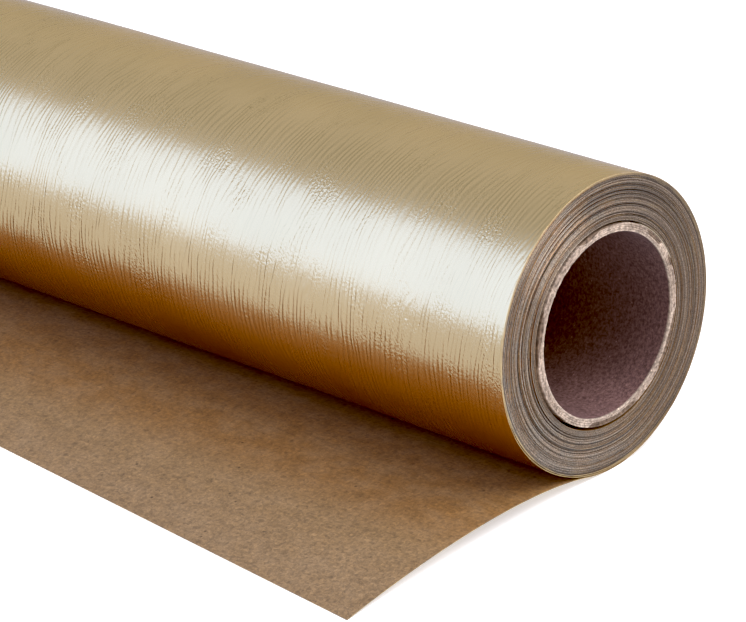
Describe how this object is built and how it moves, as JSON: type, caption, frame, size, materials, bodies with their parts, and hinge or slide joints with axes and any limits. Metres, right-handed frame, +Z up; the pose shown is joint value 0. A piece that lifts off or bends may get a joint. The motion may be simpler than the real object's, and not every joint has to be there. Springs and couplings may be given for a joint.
{
  "type": "wrapping paper roll",
  "caption": "Roll of gold-faced kraft wrapping paper on a cardboard core, lying on its side with a short length unrolled in front, which lengthens as the roll rolls away.",
  "frame": {"origin": "axis of the core's bore, at the middle of the roll's length; the table is 26.9 mm below it", "axes": "+X along the roll, +Z up, the free sheet lies towards -Y, and the roll rolls away towards +Y as it unrolls"},
  "size_m": [0.445, 0.0932, 0.0538],
  "materials": {
    "liner_board": "matte",
    "core_board": "matte",
    "tape": "satin",
    "paper_edge": "matte",
    "kraft_paper": "matte",
    "gold_face": "satin"
  },
  "bodies": {
    "sheet": {"sheet_kraft": "kraft_paper", "sheet_gold": "gold_face"},
    "lead": {"lead_kraft": "kraft_paper", "lead_gold": "gold_face"},
    "roll": {"core_liner": "liner_board", "core_inner_ply": "core_board", "core_outer_ply": "core_board", "core_wrap": "core_board", "start_tape": "tape", "first_turns": "paper_edge", "inner_turns": "paper_edge", "middle_turns": "paper_edge", "outer_turns": "paper_edge", "last_turns": "gold_face"}
  },
  "joints": [
    {"name": "roll_travel", "type": "slide", "parent": "sheet", "child": "lead", "axis": [0, 1, 0], "range_m": [0, 0.5]},
    {"name": "roll_spin", "type": "hinge", "parent": "lead", "child": "roll", "pos_m": [0, -0.0005, 0.0001], "axis": [1, 0, 0], "range_deg": [-1065, 5]}
  ],
  "couplings": [
    {"joint": "roll_spin", "follows": "roll_travel", "rad_per_m": -37.037}
  ]
}
